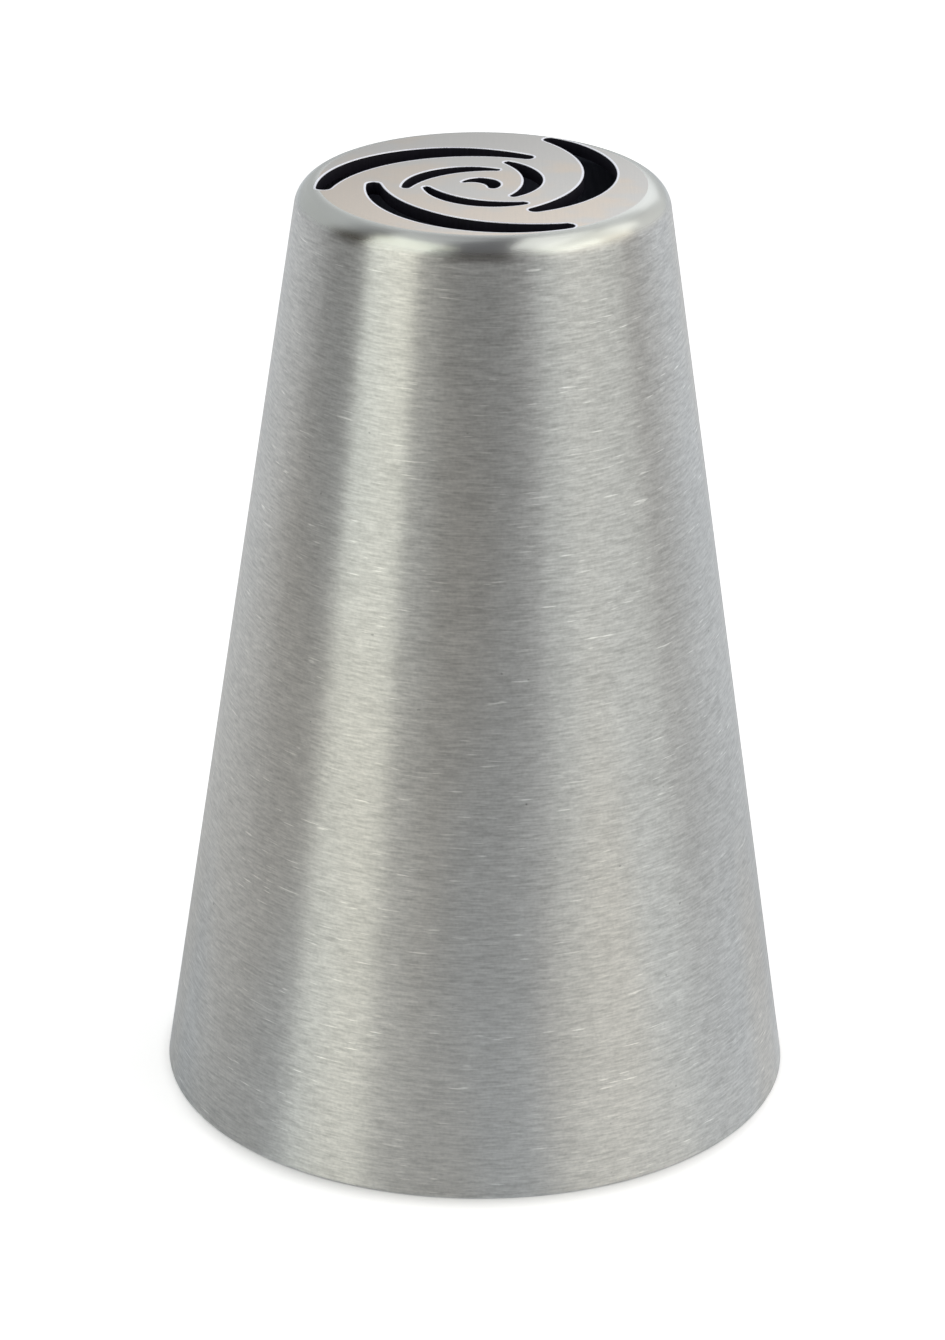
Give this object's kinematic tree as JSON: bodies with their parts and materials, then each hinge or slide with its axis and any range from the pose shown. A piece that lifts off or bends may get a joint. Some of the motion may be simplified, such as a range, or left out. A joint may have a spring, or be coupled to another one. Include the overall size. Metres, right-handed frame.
{
  "type": "piping nozzle",
  "caption": "Cone-shaped stainless steel piping nozzle with a closed flat tip whose curved slots squeeze cream into a ruffled rose.",
  "frame": {"origin": "centre of the wide rim, in the plane that the nozzle stands on", "axes": "+Z along the cone's axis, from the wide rim to the slotted tip; -Y is the side that faced the camera"},
  "size_m": [0.025, 0.025, 0.037],
  "materials": {
    "steel": "brushed round the cone, bright rounded shoulder, plain mill finish on the flat tip"
  },
  "bodies": {
    "root": {"nozzle_shell": "steel"}
  },
  "joints": []
}
